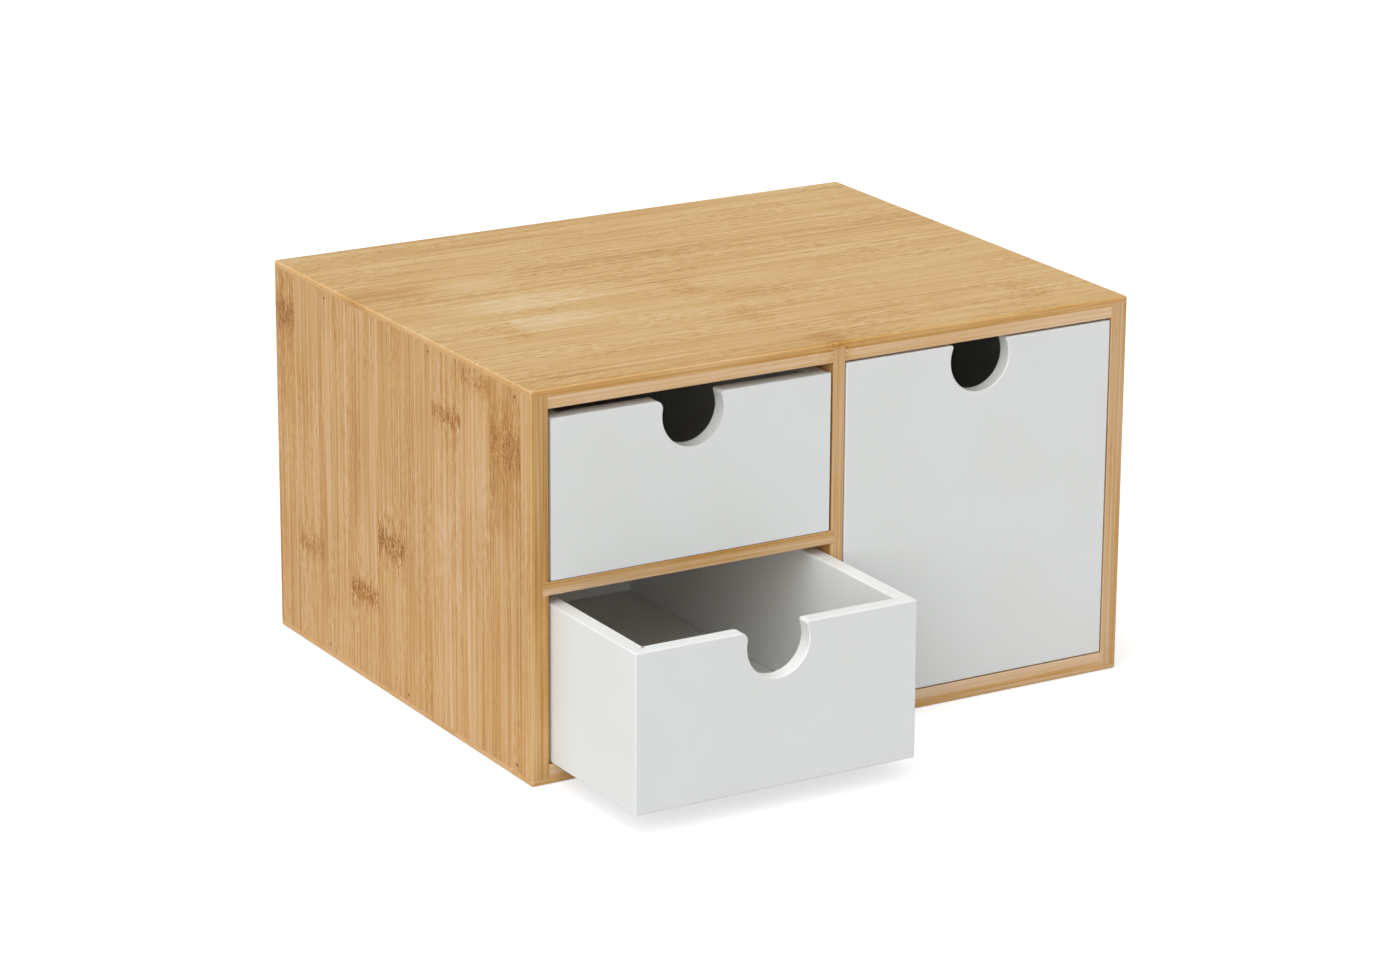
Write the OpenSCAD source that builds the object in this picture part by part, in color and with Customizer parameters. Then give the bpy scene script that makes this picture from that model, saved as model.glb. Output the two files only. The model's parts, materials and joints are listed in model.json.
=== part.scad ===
// Desktop organizer with three pull-out drawers.
// The carcass is bamboo board: two sides, a top and a bottom that lap over their
// ends, an upright divider, a shelf and a thin back. The drawers are painted boxes
// with a finger notch in each front. Millimetres, +Z up. The origin is on the
// table, under the middle of the carcass, and the fronts face -Y.

/* [Carcass] */
// Width of the carcass, left to right
width = 250; // [210:1:400]
// Depth of the carcass, front to back
depth = 200; // [150:1:320]
// Height of the carcass
height = 145; // [125:1:260]
// Thickness of the two side panels
side_t = 7; // [6:0.5:12]
// Thickness of the top and bottom panels
panel_t = 7.5; // [6.5:0.5:12]
// Thickness of the upright divider
divider_t = 5; // [4:0.5:10]
// Thickness of the shelf between the two left drawers
shelf_t = 5; // [3:0.5:8]
// Thickness of the back panel
back_t = 3; // [2:0.5:6]
// Clear width of the two left openings
left_opening_w = 115.5; // [80:0.5:125]
// Clear height of the lower left opening
lower_opening_h = 62.5; // [40:0.5:68]
// Radius that eases the outer edges of the carcass
edge_r = 1; // [0.5:0.1:2]

/* [Carcass joints] */
// Thickness of the lip that the top and bottom panels lap over the sides
lip_t = 2.3; // [2.1:0.1:3]
// Depth of the housings in the top and bottom panels that take the divider
divider_housing = 5; // [2:0.1:5.4]
// Depth of the housing in the left side that takes the shelf
shelf_housing_side = 2.3; // [1:0.1:4]
// Depth of the housing in the divider that takes the shelf
shelf_housing_divider = 1.3; // [0.5:0.1:2.5]
// Width of the rebate that the back panel laps into
back_lap = 3.5; // [2.5:0.1:4]
// Gap round the edges of the back panel in its rebate
back_gap = 0.3; // [0.1:0.05:0.5]

/* [Drawers] */
// How far the lower left drawer is pulled out
lower_open = 58.5; // [0:0.5:150]
// Gap between a left drawer and its opening on each side
left_gap_side = 1; // [0.3:0.1:2]
// Gap between the tall drawer and its opening on each side
tall_gap_side = 0.5; // [0.3:0.1:2]
// Running gap under each drawer
gap_below = 0.3; // [0.1:0.1:1]
// Gap above each of the two left drawers
left_gap_above = 3.5; // [0.5:0.1:5]
// Gap above the tall right drawer
tall_gap_above = 0.8; // [0.5:0.1:5]
// Gap between a closed drawer and the back panel
gap_behind = 0.5; // [0.2:0.1:6]
// Thickness of the drawer fronts
front_t = 6; // [5.5:0.5:12]
// Thickness of the lip that a drawer front laps over its walls
front_lip_t = 2.3; // [2:0.1:3.5]
// Thickness of the drawer walls
wall_t = 6; // [5:0.5:10]
// Thickness of the drawer back boards
drawer_back_t = 6; // [5:0.5:10]
// Thickness of the drawer bottoms
bottom_t = 3; // [2:0.5:5]
// Height of the drawer bottoms above the lower edge of their walls
bottom_lift = 3.5; // [2:0.1:6]
// Depth of the grooves that hold the drawer bottoms
groove_depth = 2.5; // [1.5:0.1:3]
// Free play above and around a drawer bottom in its grooves
groove_gap = 0.2; // [0.1:0.05:0.4]
// Radius that eases the edges of the drawers
drawer_edge_r = 0.6; // [0.3:0.1:1.5]

/* [Finger notches] */
// Radius of the round part of each notch
notch_r = 12.5; // [9:0.1:16]
// Depth of that circle's centre below the front's top edge, left drawers
left_notch_drop = 6; // [4:0.1:9]
// Depth of that circle's centre below the front's top edge, tall drawer
tall_notch_drop = 6.2; // [4:0.1:9]
// Radius that rounds the left shoulder of the notch, left drawers
soft_shoulder_r = 3; // [0.5:0.1:4]
// Radius that rounds every other shoulder of the notches
crisp_shoulder_r = 1; // [0.5:0.1:4]

/* [Brads and pins] */
// Diameter of the brads
brad_d = 1.2; // [0.8:0.1:1.6]
// Length of the brads
brad_len = 16; // [13:0.5:20]
// Radial clearance of each brad or pin in its hole
brad_gap = 0.05; // [0.02:0.01:0.1]
// How far the carcass brads and pins are set below the surface
brad_set = 0.5; // [0.2:0.1:1]
// Thickness of filler and paint over the drawer brads
brad_cover = 0.8; // [0.5:0.1:1.5]
// Distance of the first brad of a side from the front edge
brad_front = 11; // [6:0.5:20]
// Distance of the last brad of a side from the back edge
brad_back = 42; // [15:0.5:55]
// How far the middle brads stand off their row's centre, top to front, bottom to back
brad_stagger = 9; // [0:0.5:15]
// Height of the outer drawer brads from the drawer's lower and upper edges
drawer_brad_end = 12; // [10:0.5:16]
// Diameter of the back panel's pins
pin_d = 1; // [0.8:0.1:1.4]
// Length of the back panel's pins
pin_len = 12; // [8:0.5:15]
// Distance of the outer pins from the back panel's corners
pin_end = 20; // [12:0.5:40]

/* [Hidden] */

// How far a cutter runs past the face that it opens
cut = 1;

// How far arcs that would only touch run into each other
hair = 0.002;

// Finish of each kind of piece
bamboo = [0.83, 0.67, 0.45];
bamboo_edge = [0.79, 0.62, 0.40];
paint = [0.86, 0.87, 0.86];
steel = [0.62, 0.62, 0.63];

// Carcass planes
x_left = -width / 2;
x_right = width / 2;
y_front = -depth / 2;
y_back = depth / 2;
in_left = x_left + side_t;
in_right = x_right - side_t;
in_low = panel_t;
in_high = height - panel_t;
in_back = y_back - back_t;
div_left = in_left + left_opening_w;
div_right = div_left + divider_t;
shelf_low = in_low + lower_opening_h;
shelf_high = shelf_low + shelf_t;

// Sides stand between the lips of the top and bottom panels
side_low = lip_t;
side_high = height - lip_t;

// Rows of brads along a side: the tongue of each panel is nailed at its middle
brad_z_low = (lip_t + panel_t) / 2;
brad_z_high = height - brad_z_low;
brad_y_first = y_front + brad_front;
brad_y_last = y_back - brad_back;
brad_y_mid = (brad_y_first + brad_y_last) / 2;
brad_spots = [
    for (y = [brad_y_first, brad_y_mid - brad_stagger, brad_y_last]) [y, brad_z_high],
    for (y = [brad_y_first, brad_y_mid + brad_stagger, brad_y_last]) [y, brad_z_low]
];

// Back panel, and the pins that run through its lap into the edges of the boards in
// front of it; the middle pins of the two long rows go into the divider
back_x0 = in_left - back_lap + back_gap;
back_x1 = in_right + back_lap - back_gap;
back_z0 = in_low - back_lap + back_gap;
back_z1 = in_high + back_lap - back_gap;
pin_in = (back_lap - back_gap) / 2;
div_mid = (div_left + div_right) / 2;
pin_spots = [
    for (z = [back_z0 + pin_in, back_z1 - pin_in])
        for (x = [back_x0 + pin_end, div_mid, back_x1 - pin_end]) [x, z],
    for (x = [back_x0 + pin_in, back_x1 - pin_in])
        for (z = [back_z0 + pin_end, back_z1 - pin_end]) [x, z]
];

// Drawers: a list of left x, low z, width, height, opening, notch drop, radius of the
// notch's left shoulder and number of brads in each corner
drawer_len = depth - back_t - gap_behind;
left_w = left_opening_w - 2 * left_gap_side;
tall_w = in_right - div_right - 2 * tall_gap_side;
left_low_h = lower_opening_h - gap_below - left_gap_above;
left_high_h = in_high - shelf_high - gap_below - left_gap_above;
tall_h = in_high - in_low - gap_below - tall_gap_above;
upper = [in_left + left_gap_side, shelf_high + gap_below, left_w, left_high_h, 0,
         left_notch_drop, soft_shoulder_r, 2];
lower = [in_left + left_gap_side, in_low + gap_below, left_w, left_low_h, lower_open,
         left_notch_drop, soft_shoulder_r, 2];
tall = [div_right + tall_gap_side, in_low + gap_below, tall_w, tall_h, 0,
        tall_notch_drop, crisp_shoulder_r, 3];

function d_width(d) = d[2];
function d_height(d) = d[3];
function d_origin(d) = [d[0], y_front - d[4], d[1]];
function d_drop(d) = d[5];
function d_left_shoulder(d) = d[6];
function d_brads(d) = d[7];

// Heights of the brads in one corner of a drawer
function d_brad_heights(d) = let (
    span = d_height(d) - 2 * drawer_brad_end,
    n = d_brads(d)
) [for (i = [0 : n - 1]) drawer_brad_end + i * span / (n - 1)];

// Drawer brads run through the middle of the front's tongue and of the back board
front_brad_y = (front_lip_t + front_t) / 2;
back_brad_y = drawer_len - drawer_back_t / 2;

// ---- shared shapes ----

// Rectangle from [0, 0] with four rounded corners
module rounded_rect(size, r) {
    translate([r, 0]) square([size[0] - 2 * r, size[1]]);
    translate([0, r]) square([size[0], size[1] - 2 * r]);
    for (x = [r, size[0] - r], y = [r, size[1] - r])
        translate([x, y]) circle(r, $fn = 48);
}

// Box from the origin with all twelve edges rounded
module eased_box(size, r) {
    intersection() {
        linear_extrude(size[2]) rounded_rect([size[0], size[1]], r);
        translate([0, size[1], 0]) rotate([90, 0, 0])
            linear_extrude(size[1]) rounded_rect([size[0], size[2]], r);
        rotate([90, 0, 90])
            linear_extrude(size[0]) rounded_rect([size[1], size[2]], r);
    }
}

// Box between two corners
module block(low, high) {
    translate(low) cube(high - low);
}

// Keeps what lies inside the eased outline of the carcass
module within_carcass() {
    intersection() {
        children();
        translate([x_left, y_front, 0]) eased_box([width, depth, height], edge_r);
    }
}

// Round bar or bore along +X from a point
module bar_x(at, d, len) {
    translate(at) rotate([0, 90, 0]) cylinder(d = d, h = len, $fn = 32);
}

// Round bar or bore along -Y from a point
module bar_y(at, d, len) {
    translate(at) rotate([90, 0, 0]) cylinder(d = d, h = len, $fn = 32);
}

// ---- carcass ----

// The brads of the left side, or the holes that they fill when gap is given
module side_brads(gap = 0) {
    for (s = brad_spots)
        bar_x([x_left + (gap > 0 ? -cut : brad_set), s[0], s[1]], brad_d + 2 * gap,
              brad_len + (gap > 0 ? brad_set + cut + gap : 0));
}

// The same on the right side, as the mirror image
module right_brads(gap = 0) {
    mirror([1, 0, 0]) side_brads(gap);
}

// The pins of the back panel, or their holes when gap is given
module back_pins(gap = 0) {
    for (s = pin_spots)
        bar_y([s[0], y_back + (gap > 0 ? cut : -brad_set), s[1]], pin_d + 2 * gap,
              pin_len + (gap > 0 ? brad_set + cut + gap : 0));
}

// Space of the back panel's rebate
module back_rebate() {
    block([in_left - back_lap, in_back, in_low - back_lap],
          [in_right + back_lap, y_back + cut, in_high + back_lap]);
}

// Bottom panel's board: full size, with a rebate at each end for the sides
module end_lapped_board() {
    difference() {
        block([x_left, y_front, 0], [x_right, y_back, panel_t]);
        block([x_left - cut, y_front - cut, lip_t], [in_left, y_back + cut, panel_t + cut]);
        block([in_right, y_front - cut, lip_t], [x_right + cut, y_back + cut, panel_t + cut]);
        block([div_left, y_front - cut, panel_t - divider_housing],
              [div_right, in_back, panel_t + cut]);
    }
}

module bottom_panel() {
    color(bamboo) within_carcass() difference() {
        end_lapped_board();
        back_rebate();
        side_brads(brad_gap);
        right_brads(brad_gap);
        back_pins(brad_gap);
    }
}

module top_panel() {
    color(bamboo) within_carcass() difference() {
        translate([0, 0, height]) mirror([0, 0, 1]) end_lapped_board();
        back_rebate();
        side_brads(brad_gap);
        right_brads(brad_gap);
        back_pins(brad_gap);
    }
}

module left_side() {
    color(bamboo) within_carcass() difference() {
        block([x_left, y_front, side_low], [in_left, y_back, side_high]);
        block([in_left - shelf_housing_side, y_front - cut, shelf_low],
              [in_left + cut, in_back, shelf_high]);
        back_rebate();
        side_brads(brad_gap);
        back_pins(brad_gap);
    }
}

module right_side() {
    color(bamboo) within_carcass() difference() {
        block([in_right, y_front, side_low], [x_right, y_back, side_high]);
        back_rebate();
        right_brads(brad_gap);
        back_pins(brad_gap);
    }
}

module divider() {
    color(bamboo_edge) difference() {
        block([div_left, y_front, in_low - divider_housing],
              [div_right, in_back, in_high + divider_housing]);
        block([div_left - cut, y_front - cut, shelf_low],
              [div_left + shelf_housing_divider, in_back + cut, shelf_high]);
        back_pins(brad_gap);
    }
}

module shelf() {
    color(bamboo_edge)
        block([in_left - shelf_housing_side, y_front, shelf_low],
              [div_left + shelf_housing_divider, in_back, shelf_high]);
}

module back_panel() {
    color(bamboo_edge) difference() {
        block([back_x0, in_back, back_z0], [back_x1, y_back, back_z1]);
        back_pins(brad_gap);
    }
}

module left_side_brads() {
    color(steel) side_brads();
}

module right_side_brads() {
    color(steel) right_brads();
}

module back_panel_pins() {
    color(steel) back_pins();
}

// ---- drawers ----

// Keeps what lies inside the eased outline of a drawer, in the drawer's own frame
module within_drawer(d) {
    intersection() {
        children();
        eased_box([d_width(d), drawer_len, d_height(d)], drawer_edge_r);
    }
}

// Where the arc that rounds a shoulder has its centre, right of the notch's middle
function shoulder_x(d, r) = sqrt(pow(notch_r + r - hair, 2) - pow(d_drop(d) - r + hair, 2));

// One side of the notch's mouth, from past its middle to a shoulder that an arc rounds
module notch_side(d, r) {
    x = shoulder_x(d, r);
    difference() {
        polygon([[-r, cut], [x, cut], [x, hair - r], [-r, -d_drop(d)]]);
        translate([x, hair - r]) circle(r, $fn = 48);
    }
}

// Outline of the finger notch: a circle whose mouth opens at the top edge, with
// shoulders rounded by arcs that run from that edge into the circle. The arcs cross
// both by a hair instead of only touching them, so that they meet in clean corners
module notch_outline(d) {
    translate([0, -d_drop(d)]) circle(notch_r, $fn = 96);
    notch_side(d, crisp_shoulder_r);
    mirror([1, 0]) notch_side(d, d_left_shoulder(d));
}

// The brads of a drawer, or their holes when gap is given
module corner_brads(d, gap = 0) {
    for (y = [front_brad_y, back_brad_y], z = d_brad_heights(d)) {
        bar_x([brad_cover - gap, y, z], brad_d + 2 * gap, brad_len + 2 * gap);
        bar_x([d_width(d) - brad_cover - brad_len - gap, y, z], brad_d + 2 * gap,
              brad_len + 2 * gap);
    }
}

// Space of the groove that runs round the inside of a drawer
module bottom_groove(d, reach) {
    block([wall_t - groove_depth, front_t - groove_depth, bottom_lift],
          [d_width(d) - wall_t + groove_depth, reach, bottom_lift + bottom_t + groove_gap]);
}

module drawer_front(d) {
    w = d_width(d);
    h = d_height(d);
    color(paint) translate(d_origin(d)) within_drawer(d) difference() {
        block([0, 0, 0], [w, front_t, h]);
        block([-cut, front_lip_t, -cut], [wall_t, front_t + cut, h + cut]);
        block([w - wall_t, front_lip_t, -cut], [w + cut, front_t + cut, h + cut]);
        bottom_groove(d, front_t + cut);
        translate([w / 2, front_t + cut, h]) rotate([90, 0, 0])
            linear_extrude(front_t + 2 * cut) notch_outline(d);
        corner_brads(d, brad_gap);
    }
}

module drawer_wall(d, from_x) {
    color(paint) translate(d_origin(d)) within_drawer(d) difference() {
        block([from_x, front_lip_t, 0], [from_x + wall_t, drawer_len, d_height(d)]);
        bottom_groove(d, drawer_len + cut);
        corner_brads(d, brad_gap);
    }
}

module drawer_left_wall(d) {
    drawer_wall(d, 0);
}

module drawer_right_wall(d) {
    drawer_wall(d, d_width(d) - wall_t);
}

module drawer_back(d) {
    color(paint) translate(d_origin(d)) within_drawer(d) difference() {
        block([wall_t, drawer_len - drawer_back_t, 0],
              [d_width(d) - wall_t, drawer_len, d_height(d)]);
        bottom_groove(d, drawer_len - drawer_back_t + groove_depth);
        corner_brads(d, brad_gap);
    }
}

module drawer_bottom(d) {
    inset = groove_depth - groove_gap;
    color(paint) translate(d_origin(d))
        block([wall_t - inset, front_t - inset, bottom_lift],
              [d_width(d) - wall_t + inset, drawer_len - drawer_back_t + inset,
               bottom_lift + bottom_t]);
}

module drawer_brads(d) {
    color(steel) translate(d_origin(d)) corner_brads(d);
}

top_panel();
bottom_panel();
left_side();
right_side();
divider();
shelf();
back_panel();
left_side_brads();
right_side_brads();
back_panel_pins();
drawer_front(upper);  // upper_drawer_front
drawer_left_wall(upper);  // upper_drawer_left_wall
drawer_right_wall(upper);  // upper_drawer_right_wall
drawer_back(upper);  // upper_drawer_back
drawer_bottom(upper);  // upper_drawer_bottom
drawer_brads(upper);  // upper_drawer_brads
drawer_front(lower);  // lower_drawer_front
drawer_left_wall(lower);  // lower_drawer_left_wall
drawer_right_wall(lower);  // lower_drawer_right_wall
drawer_back(lower);  // lower_drawer_back
drawer_bottom(lower);  // lower_drawer_bottom
drawer_brads(lower);  // lower_drawer_brads
drawer_front(tall);  // tall_drawer_front
drawer_left_wall(tall);  // tall_drawer_left_wall
drawer_right_wall(tall);  // tall_drawer_right_wall
drawer_back(tall);  // tall_drawer_back
drawer_bottom(tall);  // tall_drawer_bottom
drawer_brads(tall);  // tall_drawer_brads
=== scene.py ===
"""Desktop organizer with three pull-out drawers: the looks of every board, and the stage.

It is laid out as an add-on and run as a script. Sizes are in metres, in the frame of the
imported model: the origin is on the table under the middle of the carcass, the fronts face
-Y, and every board takes its size and place from the solid that it stands for.
"""

import json
import math

import bmesh
import bpy
from bpy.props import FloatProperty, FloatVectorProperty, IntProperty, PointerProperty
from mathutils import Matrix, Vector

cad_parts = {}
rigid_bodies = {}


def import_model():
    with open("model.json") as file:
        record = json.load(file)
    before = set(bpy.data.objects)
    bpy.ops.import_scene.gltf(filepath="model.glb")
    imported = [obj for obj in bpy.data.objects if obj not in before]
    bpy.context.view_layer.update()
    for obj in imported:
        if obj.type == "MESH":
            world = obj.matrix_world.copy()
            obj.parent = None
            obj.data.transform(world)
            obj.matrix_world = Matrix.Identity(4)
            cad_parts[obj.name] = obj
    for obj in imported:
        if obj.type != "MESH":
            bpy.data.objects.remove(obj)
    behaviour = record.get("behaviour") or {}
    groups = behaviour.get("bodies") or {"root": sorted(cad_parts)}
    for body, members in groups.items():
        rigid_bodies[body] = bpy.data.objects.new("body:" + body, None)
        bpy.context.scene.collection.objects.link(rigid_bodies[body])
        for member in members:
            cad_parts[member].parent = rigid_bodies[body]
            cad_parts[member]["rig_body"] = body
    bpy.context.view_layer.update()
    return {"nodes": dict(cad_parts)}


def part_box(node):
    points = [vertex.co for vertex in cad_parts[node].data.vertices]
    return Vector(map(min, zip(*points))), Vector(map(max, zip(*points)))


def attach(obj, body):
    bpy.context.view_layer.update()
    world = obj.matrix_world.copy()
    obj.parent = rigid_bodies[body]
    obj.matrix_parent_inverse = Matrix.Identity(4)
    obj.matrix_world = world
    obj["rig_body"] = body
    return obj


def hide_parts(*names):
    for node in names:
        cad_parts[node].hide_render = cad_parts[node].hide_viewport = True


bl_info = {
    "name": "Bamboo Drawer Organizer",
    "version": (1, 0, 0),
    "blender": (4, 5, 0),
    "location": "3D View > Sidebar > Organizer",
    "description": "Boards, finishes and stage of a bamboo organizer with three painted drawers",
    "category": "Add Mesh",
}

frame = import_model()

MM = 0.001
SAME_PLACE = 0.01 * MM
X, Y, Z = 0, 1, 2
DRAWERS = ("upper_drawer", "lower_drawer", "tall_drawer")

# Places of the carcass, from its solids
LEFT_LOW, LEFT_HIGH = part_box("left_side")
RIGHT_LOW, RIGHT_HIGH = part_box("right_side")
TOP_LOW, TOP_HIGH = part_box("top_panel")
BOTTOM_LOW, BOTTOM_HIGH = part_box("bottom_panel")
DIVIDER_LOW, DIVIDER_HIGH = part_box("divider")
SHELF_LOW, SHELF_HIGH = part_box("shelf")
BACK_LOW, BACK_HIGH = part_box("back_panel")
CARCASS = (BOTTOM_LOW, TOP_HIGH)
FRONT = BOTTOM_LOW.y
REAR = BOTTOM_HIGH.y
FLOOR = BOTTOM_LOW.z
IN_LEFT = LEFT_HIGH.x
IN_RIGHT = RIGHT_LOW.x
IN_LOW = BOTTOM_HIGH.z
IN_HIGH = TOP_LOW.z
IN_BACK = BACK_LOW.y

# The three openings of the front, as rectangles (low x, low z, high x, high z)
OPENINGS = (
    (IN_LEFT, SHELF_HIGH.z, DIVIDER_LOW.x, IN_HIGH),
    (IN_LEFT, IN_LOW, DIVIDER_LOW.x, SHELF_LOW.z),
    (DIVIDER_HIGH.x, IN_LOW, IN_RIGHT, IN_HIGH),
)

# A face looks along an axis when this much of its normal does
SQUARE_ON = 0.99
# An edge that turns by more than the first is eased, and one by less than the second is
# shaded smooth
SHARP_TURN = math.radians(40)
SMOOTH_TURN = math.radians(35)
# Facets of each rounding: on the carcass, on the drawers, on boards that lie loose in a
# groove or rebate, and in the arcs of a notch's shoulders, the notch and a brad hole
OUTER_STEPS, OPENING_STEPS, GLUE_STEPS = 6, 3, 1
DRAWER_STEPS, CAVITY_STEPS = 5, 4
LOOSE_STEPS = 2
SHOULDER_STEPS, NOTCH_STEPS, HOLE_STEPS = 10, 48, 24
# How far a bore runs out past the skin that its brad went in by
RUN_OUT = 2 * MM


def length(name, description, default):
    """A length property in metres, shown in the scene's unit."""
    return FloatProperty(
        name=name, description=description, default=default, min=0.0, precision=5, unit="LENGTH"
    )


def angle(name, description, degrees):
    """An angle property, with its default in degrees."""
    return FloatProperty(
        name=name, description=description, default=math.radians(degrees), subtype="ANGLE"
    )


def colour(name, description, default):
    """A colour property, in linear red, green and blue."""
    return FloatVectorProperty(
        name=name, description=description, default=default, min=0.0, max=1.0, subtype="COLOR"
    )


def share(name, description, default, top=1.0):
    """A plain number from nought up."""
    return FloatProperty(name=name, description=description, default=default, min=0.0, max=top)


class BoardSettings(bpy.types.PropertyGroup):
    """Sizes of the fine shapes on the bamboo boards."""

    outer_ease: length("Outer easing", "Radius along the outer edges of the carcass", 1.0 * MM)
    opening_ease: length("Opening easing", "Radius round the drawer openings", 0.35 * MM)
    glue_line: length("Glue line", "Width of the chamfer where two boards meet", 0.14 * MM)
    back_gap: length("Back gap", "Gap round the back panel in its rebate", 0.3 * MM)
    nail_gap: length("Nail gap", "Radial clearance of a brad in its hole", 0.08 * MM)


class DrawerSettings(bpy.types.PropertyGroup):
    """Sizes of the fine shapes on the drawers."""

    outer_ease: length("Outer easing", "Radius along the outer edges of a drawer", 0.6 * MM)
    inner_ease: length("Inner easing", "Radius along the inner top edges of a drawer", 0.5 * MM)
    groove_gap: length("Groove gap", "Play of a drawer bottom in its groove", 0.2 * MM)
    nail_gap: length("Nail gap", "Radial clearance of a brad in its hole", 0.05 * MM)
    notch_radius: length("Notch radius", "Radius of the finger notch", 12.5 * MM)
    left_drop: length("Left notch drop", "Depth of the notch centre, left drawers", 6 * MM)
    tall_drop: length("Tall notch drop", "Depth of the notch centre, tall drawer", 6.2 * MM)
    soft_shoulder: length("Soft shoulder", "Left shoulder of the notch, left drawers", 3 * MM)
    crisp_shoulder: length("Crisp shoulder", "Every other shoulder of the notches", 1 * MM)


class BambooSettings(bpy.types.PropertyGroup):
    """Look of the laminated bamboo."""

    strip: length("Strip width", "Width of the strips that a board is glued from", 22 * MM)
    fleck: colour("Fleck brown", "Darkest flecks, in the knots", (0.26, 0.095, 0.014))
    knot: colour("Knot brown", "Body of the knots", (0.405, 0.178, 0.032))
    amber: colour("Amber", "Dark strips and streaks", (0.49, 0.248, 0.064))
    honey: colour("Honey", "Middle tone of the bamboo", (0.582, 0.338, 0.124))
    straw: colour("Straw", "Palest strips and fibres", (0.71, 0.50, 0.32))
    fibre_contrast: share("Fibre contrast", "How much the fibres differ in tone", 1.0, top=3.0)
    seed: IntProperty(name="Seed", description="Changes which strips are used", default=3)


class PaintSettings(bpy.types.PropertyGroup):
    """Look of the painted drawers."""

    body: colour("Paint", "Colour of the paint", (0.785, 0.803, 0.79))
    thin: colour("Thin paint", "Colour where the coat is thinner", (0.77, 0.786, 0.77))
    grain: length("Orange peel", "Size of the ripples in the coat", 1.2 * MM)


class StageSettings(bpy.types.PropertyGroup):
    """Camera, lamps and floor."""

    camera_place: FloatVectorProperty(
        name="Camera place",
        description="Where the camera stands",
        default=(-0.87128, -1.46406, 0.60503),
        subtype="TRANSLATION",
        unit="LENGTH",
    )
    camera_yaw: angle("Camera yaw", "Turn to the right", 30.826)
    camera_pitch: angle("Camera pitch", "Tilt down", 17.551)
    camera_roll: angle("Camera roll", "Roll about the line of sight", 0.358)
    camera_lens: FloatProperty(
        name="Focal length",
        description="Focal length in millimetres, on a sensor 36 mm wide",
        default=122.15,
    )
    sky: share("Sky", "Light of the surroundings", 0.42)
    overhead: share("Overhead lamp", "Light of the lamp above", 0.98, top=10.0)
    side: share("Side lamp", "Light of the lamp on the left", 2.28, top=10.0)
    floor_grey: share("Floor grey", "How much of the lamps' light the floor gives back", 0.55)
    floor_glow: share("Floor glow", "Light that whitens the floor where it is seen", 0.62)


# ---- modelling ----


def start_clean():
    """Leaves edit mode with nothing selected, so that the next operator acts on its piece."""
    if bpy.context.mode != "OBJECT":
        bpy.ops.object.mode_set(mode="OBJECT")
    bpy.ops.object.select_all(action="DESELECT")


def board_blank(node, low, high):
    """Adds a cube between two corners as a node's board, and opens it in edit mode."""
    start_clean()
    low, high = Vector(map(min, low, high)), Vector(map(max, low, high))
    bpy.ops.mesh.primitive_cube_add(size=1, location=(low + high) / 2, scale=high - low)
    bpy.ops.object.transform_apply(location=True, rotation=True, scale=True)
    return open_board(node)


def open_board(node):
    """Names the active object as a node's board and opens it in edit mode."""
    piece = bpy.context.active_object
    piece.name = piece.data.name = f"{node}_board"
    bpy.ops.object.mode_set(mode="EDIT")
    return piece


def same(a, b):
    """True if two places along an axis are the same but for rounding."""
    return abs(a - b) < SAME_PLACE


def pick(kind, test):
    """Selects only the vertices, edges or faces of the open piece that pass a test."""
    bpy.ops.mesh.select_mode(type=kind)
    bpy.ops.mesh.select_all(action="DESELECT")
    data = bpy.context.active_object.data
    mesh = bmesh.from_edit_mesh(data)
    for part in {"VERT": mesh.verts, "EDGE": mesh.edges, "FACE": mesh.faces}[kind]:
        if test(part):
            part.select_set(True)
    bmesh.update_edit_mesh(data)


def lies_at(face, axis, place):
    """True if a face is square to an axis and lies at one place of it."""
    square = abs(face.normal[axis]) > SQUARE_ON
    return square and same(face.calc_center_median()[axis], place)


def cut_across(axis, place):
    """Cuts the selected faces of the open piece along a plane across one axis."""
    point, across = [0, 0, 0], [0, 0, 0]
    point[axis], across[axis] = place, 1
    bpy.ops.mesh.bisect(plane_co=point, plane_no=across)


def score(axis, *places):
    """Cuts all of the open piece along planes across one axis."""
    for place in places:
        bpy.ops.mesh.select_all(action="SELECT")
        cut_across(axis, place)


def score_upright(depth, axis, *places):
    """Cuts only the upright faces at one depth, along planes across one axis."""
    for place in places:
        pick("FACE", lambda face: lies_at(face, Y, depth))
        cut_across(axis, place)


def raise_faces(axis, start, end, where=lambda centre: True):
    """Extrudes the faces that lie at one place of an axis to another place."""
    pick("FACE", lambda face: lies_at(face, axis, start) and where(face.calc_center_median()))
    move = [0, 0, 0]
    move[axis] = end - start
    bpy.ops.mesh.extrude_region_move(TRANSFORM_OT_translate={"value": move})


def ends(edge):
    """The places of an edge's two ends."""
    return [vert.co for vert in edge.verts]


def along(edge, axis, place):
    """True if both ends of an edge are at one place of an axis."""
    return all(same(end[axis], place) for end in ends(edge))


def planes_shared(edge, box):
    """How many of a box's six planes an edge lies in."""
    return sum(along(edge, axis, corner[axis]) for corner in box for axis in (X, Y, Z))


def near_outside(edge, box, reach):
    """True if both ends of an edge are within reach of the planes of a box."""
    return all(
        any(abs(end[axis] - corner[axis]) < reach for corner in box for axis in (X, Y, Z))
        for end in ends(edge)
    )


def borders(edge, rectangle, first, second):
    """True if an edge runs along the border of a rectangle in two axes."""
    middle = sum(ends(edge), Vector()) / 2
    a, b = middle[first], middle[second]
    low_a, low_b, high_a, high_b = rectangle
    inside_a = low_a - SAME_PLACE < a < high_a + SAME_PLACE
    inside_b = low_b - SAME_PLACE < b < high_b + SAME_PLACE
    on_a = same(a, low_a) or same(a, high_a)
    on_b = same(b, low_b) or same(b, high_b)
    return (on_a and inside_b) or (on_b and inside_a)


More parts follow.
